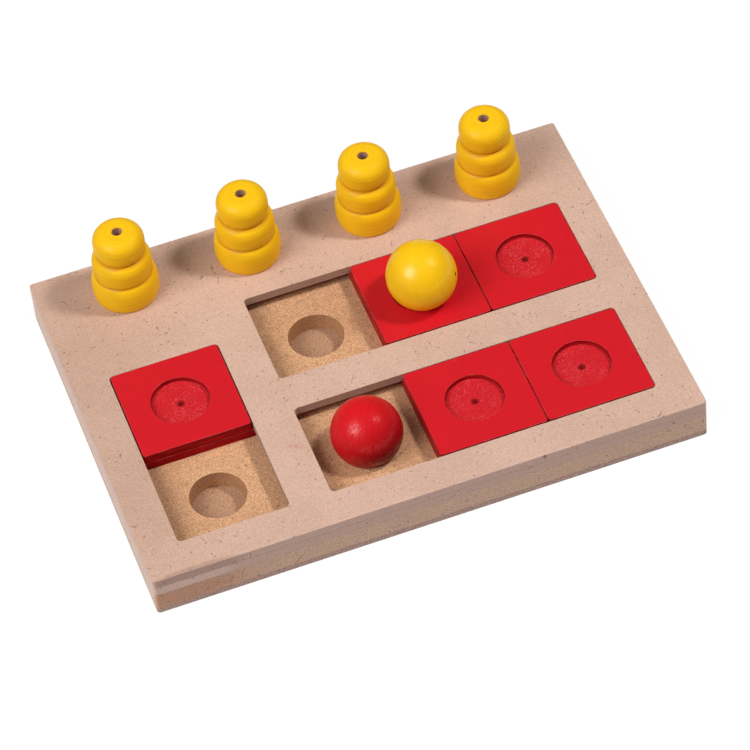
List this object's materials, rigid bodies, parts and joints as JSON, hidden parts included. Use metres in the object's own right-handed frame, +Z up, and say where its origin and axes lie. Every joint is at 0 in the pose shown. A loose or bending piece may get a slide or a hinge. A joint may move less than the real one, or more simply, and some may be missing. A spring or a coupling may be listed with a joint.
{
  "type": "dog puzzle feeder",
  "caption": "Flat rectangular treat board for a dog: square tiles slide in slots over round cups, turned cones lift off cups behind them, and balls plug the play.",
  "frame": {"origin": "centre of the board's underside, on the surface that it lies on", "axes": "+X along the board's long side, +Y towards the shelf with the cones, +Z up"},
  "size_m": [0.25, 0.1816, 0.0595],
  "materials": {
    "mdf_face": "fine-fibred fibreboard, sanded, matt, with darker sawn edges",
    "mdf_edge_dark": "sawn fibreboard edge, matt",
    "mdf_core": "cut fibreboard, matt and granular",
    "mdf_bottom": "thin hardboard, matt",
    "red_paint": "red lacquer on wood, satin",
    "yellow_paint": "yellow lacquer on turned wood, semi-gloss",
    "red_gloss_paint": "red lacquer on a turned wooden ball, glossy",
    "yellow_gloss_paint": "yellow lacquer on a turned wooden ball, glossy"
  },
  "bodies": {
    "board": {"window_sheet": "mdf_face", "channel_sheet": "mdf_edge_dark", "cup_sheet": "mdf_core", "bottom_sheet": "mdf_bottom"},
    "left_tile": {"left_tile_top": "red_paint", "left_tile_rails": "red_paint"},
    "back_middle_tile": {"back_middle_tile_top": "red_paint", "back_middle_tile_rails": "red_paint"},
    "back_right_tile": {"back_right_tile_top": "red_paint", "back_right_tile_rails": "red_paint"},
    "front_middle_tile": {"front_middle_tile_top": "red_paint", "front_middle_tile_rails": "red_paint"},
    "front_right_tile": {"front_right_tile_top": "red_paint", "front_right_tile_rails": "red_paint"},
    "outer_left_cone": {"outer_left_cone": "yellow_paint"},
    "inner_left_cone": {"inner_left_cone": "yellow_paint"},
    "inner_right_cone": {"inner_right_cone": "yellow_paint"},
    "outer_right_cone": {"outer_right_cone": "yellow_paint"},
    "yellow_ball": {"yellow_ball": "yellow_gloss_paint"},
    "red_ball": {"red_ball": "red_gloss_paint"}
  },
  "joints": [
    {"name": "left_tile_slide", "type": "slide", "parent": "board", "child": "left_tile", "axis": [0, -1, 0], "range_m": [0, 0.0494]},
    {"name": "back_right_tile_slide", "type": "slide", "parent": "board", "child": "back_right_tile", "axis": [1, 0, 0], "range_m": [-0.0494, 0]},
    {"name": "back_middle_tile_slide", "type": "slide", "parent": "back_right_tile", "child": "back_middle_tile", "axis": [-1, 0, 0], "range_m": [0, 0.0494]},
    {"name": "front_right_tile_slide", "type": "slide", "parent": "board", "child": "front_right_tile", "axis": [1, 0, 0], "range_m": [-0.0088, 0]},
    {"name": "front_middle_tile_slide", "type": "slide", "parent": "front_right_tile", "child": "front_middle_tile", "axis": [-1, 0, 0], "range_m": [0, 0.0088]},
    {"name": "outer_left_cone_lift", "type": "slide", "parent": "board", "child": "outer_left_cone", "axis": [0, 0, 1], "range_m": [0, 0.06]},
    {"name": "inner_left_cone_lift", "type": "slide", "parent": "board", "child": "inner_left_cone", "axis": [0, 0, 1], "range_m": [0, 0.06]},
    {"name": "inner_right_cone_lift", "type": "slide", "parent": "board", "child": "inner_right_cone", "axis": [0, 0, 1], "range_m": [0, 0.06]},
    {"name": "outer_right_cone_lift", "type": "slide", "parent": "board", "child": "outer_right_cone", "axis": [0, 0, 1], "range_m": [0, 0.06]},
    {"name": "yellow_ball_lift", "type": "slide", "parent": "back_middle_tile", "child": "yellow_ball", "axis": [0, 0, 1], "range_m": [0, 0.06]},
    {"name": "red_ball_lift", "type": "slide", "parent": "board", "child": "red_ball", "axis": [0, 0, 1], "range_m": [0, 0.06]}
  ]
}
